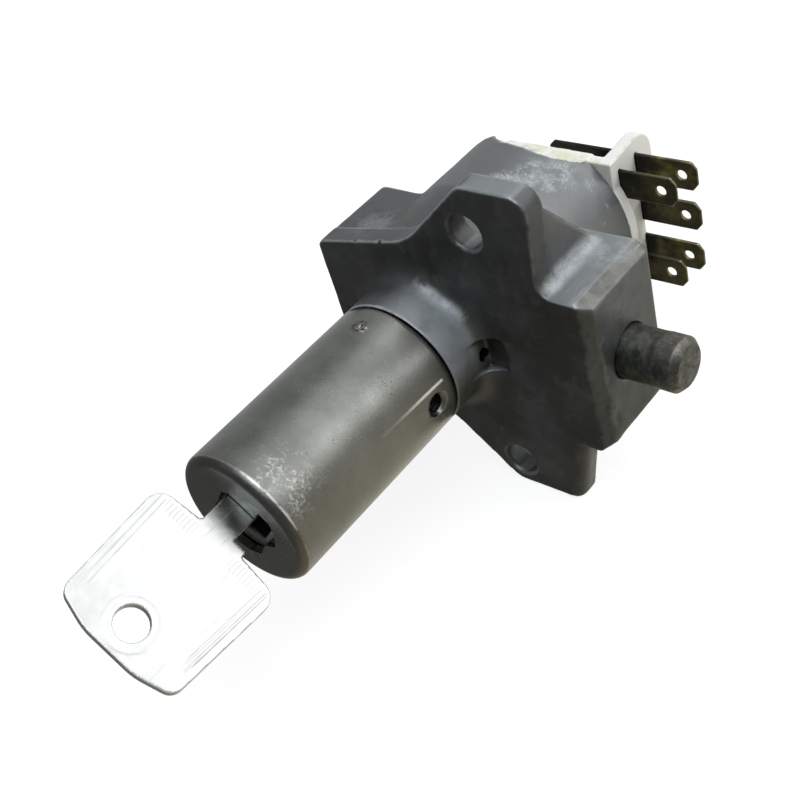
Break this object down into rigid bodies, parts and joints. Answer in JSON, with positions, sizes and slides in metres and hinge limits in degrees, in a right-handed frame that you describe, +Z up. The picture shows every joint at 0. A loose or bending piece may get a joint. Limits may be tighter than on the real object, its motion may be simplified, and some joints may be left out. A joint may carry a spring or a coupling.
{
  "type": "ignition switch",
  "caption": "Motorcycle ignition switch with key, sleeved lock barrel, zinc casting with screw ears, sliding steering-lock bolt and blade terminals on a moulded base.",
  "frame": {"origin": "on the lock axis, in the plane of the flange's front mounting face", "axes": "+Y along the lock axis from key to terminals, +X along the locking bolt towards its free end, +Z up between the two screw ears"},
  "size_m": [0.0735, 0.1403, 0.0699],
  "materials": {
    "zinc": "rough die-cast",
    "plated_steel": "satin plated, finely pitted",
    "dark_steel": "dull dark",
    "lock_brass": "plain",
    "nickel": "bright",
    "spring_steel": "drawn wire",
    "bolt_steel": "turned and worn",
    "black_plastic": "moulded",
    "contact_brass": "plain",
    "ivory_plastic": "moulded",
    "blade_brass": "tarnished"
  },
  "bodies": {
    "casing": {"housing": "zinc", "barrel_sleeve": "plated_steel", "sleeve_screw": "dark_steel", "sleeve_pin": "plated_steel", "lock_barrel": "lock_brass", "driver_pin": "dark_steel", "bore_plug": "dark_steel", "bolt_spring": "spring_steel", "switch_base": "ivory_plastic", "terminal_1": "blade_brass", "terminal_2": "blade_brass", "terminal_3": "blade_brass", "terminal_4": "blade_brass", "terminal_5": "blade_brass", "fixed_contacts": "contact_brass", "base_screws": "plated_steel"},
    "plug": {"lock_plug": "nickel", "plug_clip": "dark_steel", "driver": "dark_steel", "switch_rotor": "black_plastic", "contact_spring": "spring_steel", "contact_bridge": "contact_brass", "wafer_springs": "spring_steel"},
    "wafers": {"wafers": "lock_brass"},
    "key": {"key": "nickel"},
    "bolt": {"locking_bolt": "bolt_steel", "bolt_yoke": "bolt_steel"}
  },
  "joints": [
    {"name": "plug_turn", "type": "hinge", "parent": "casing", "child": "plug", "pos_m": [0, 0, 0], "axis": [0, -1, 0], "range_deg": [0, 90]},
    {"name": "bolt_slide", "type": "slide", "parent": "casing", "child": "bolt", "axis": [1, 0, 0], "range_m": [-0.011, 0], "deforming": ["bolt_spring"]},
    {"name": "key_slide", "type": "slide", "parent": "plug", "child": "key", "axis": [0, -1, 0], "range_m": [0, 0.036]},
    {"name": "wafer_slide", "type": "slide", "parent": "plug", "child": "wafers", "axis": [-0.7604, 0, 0.6494], "range_m": [0, 0.0008], "deforming": ["wafer_springs"]}
  ],
  "couplings": [
    {"joint": "bolt_slide", "follows": "plug_turn", "m_per_rad": -0.0069324},
    {"joint": "wafer_slide", "follows": "key_slide", "ratio": 0.0222}
  ]
}
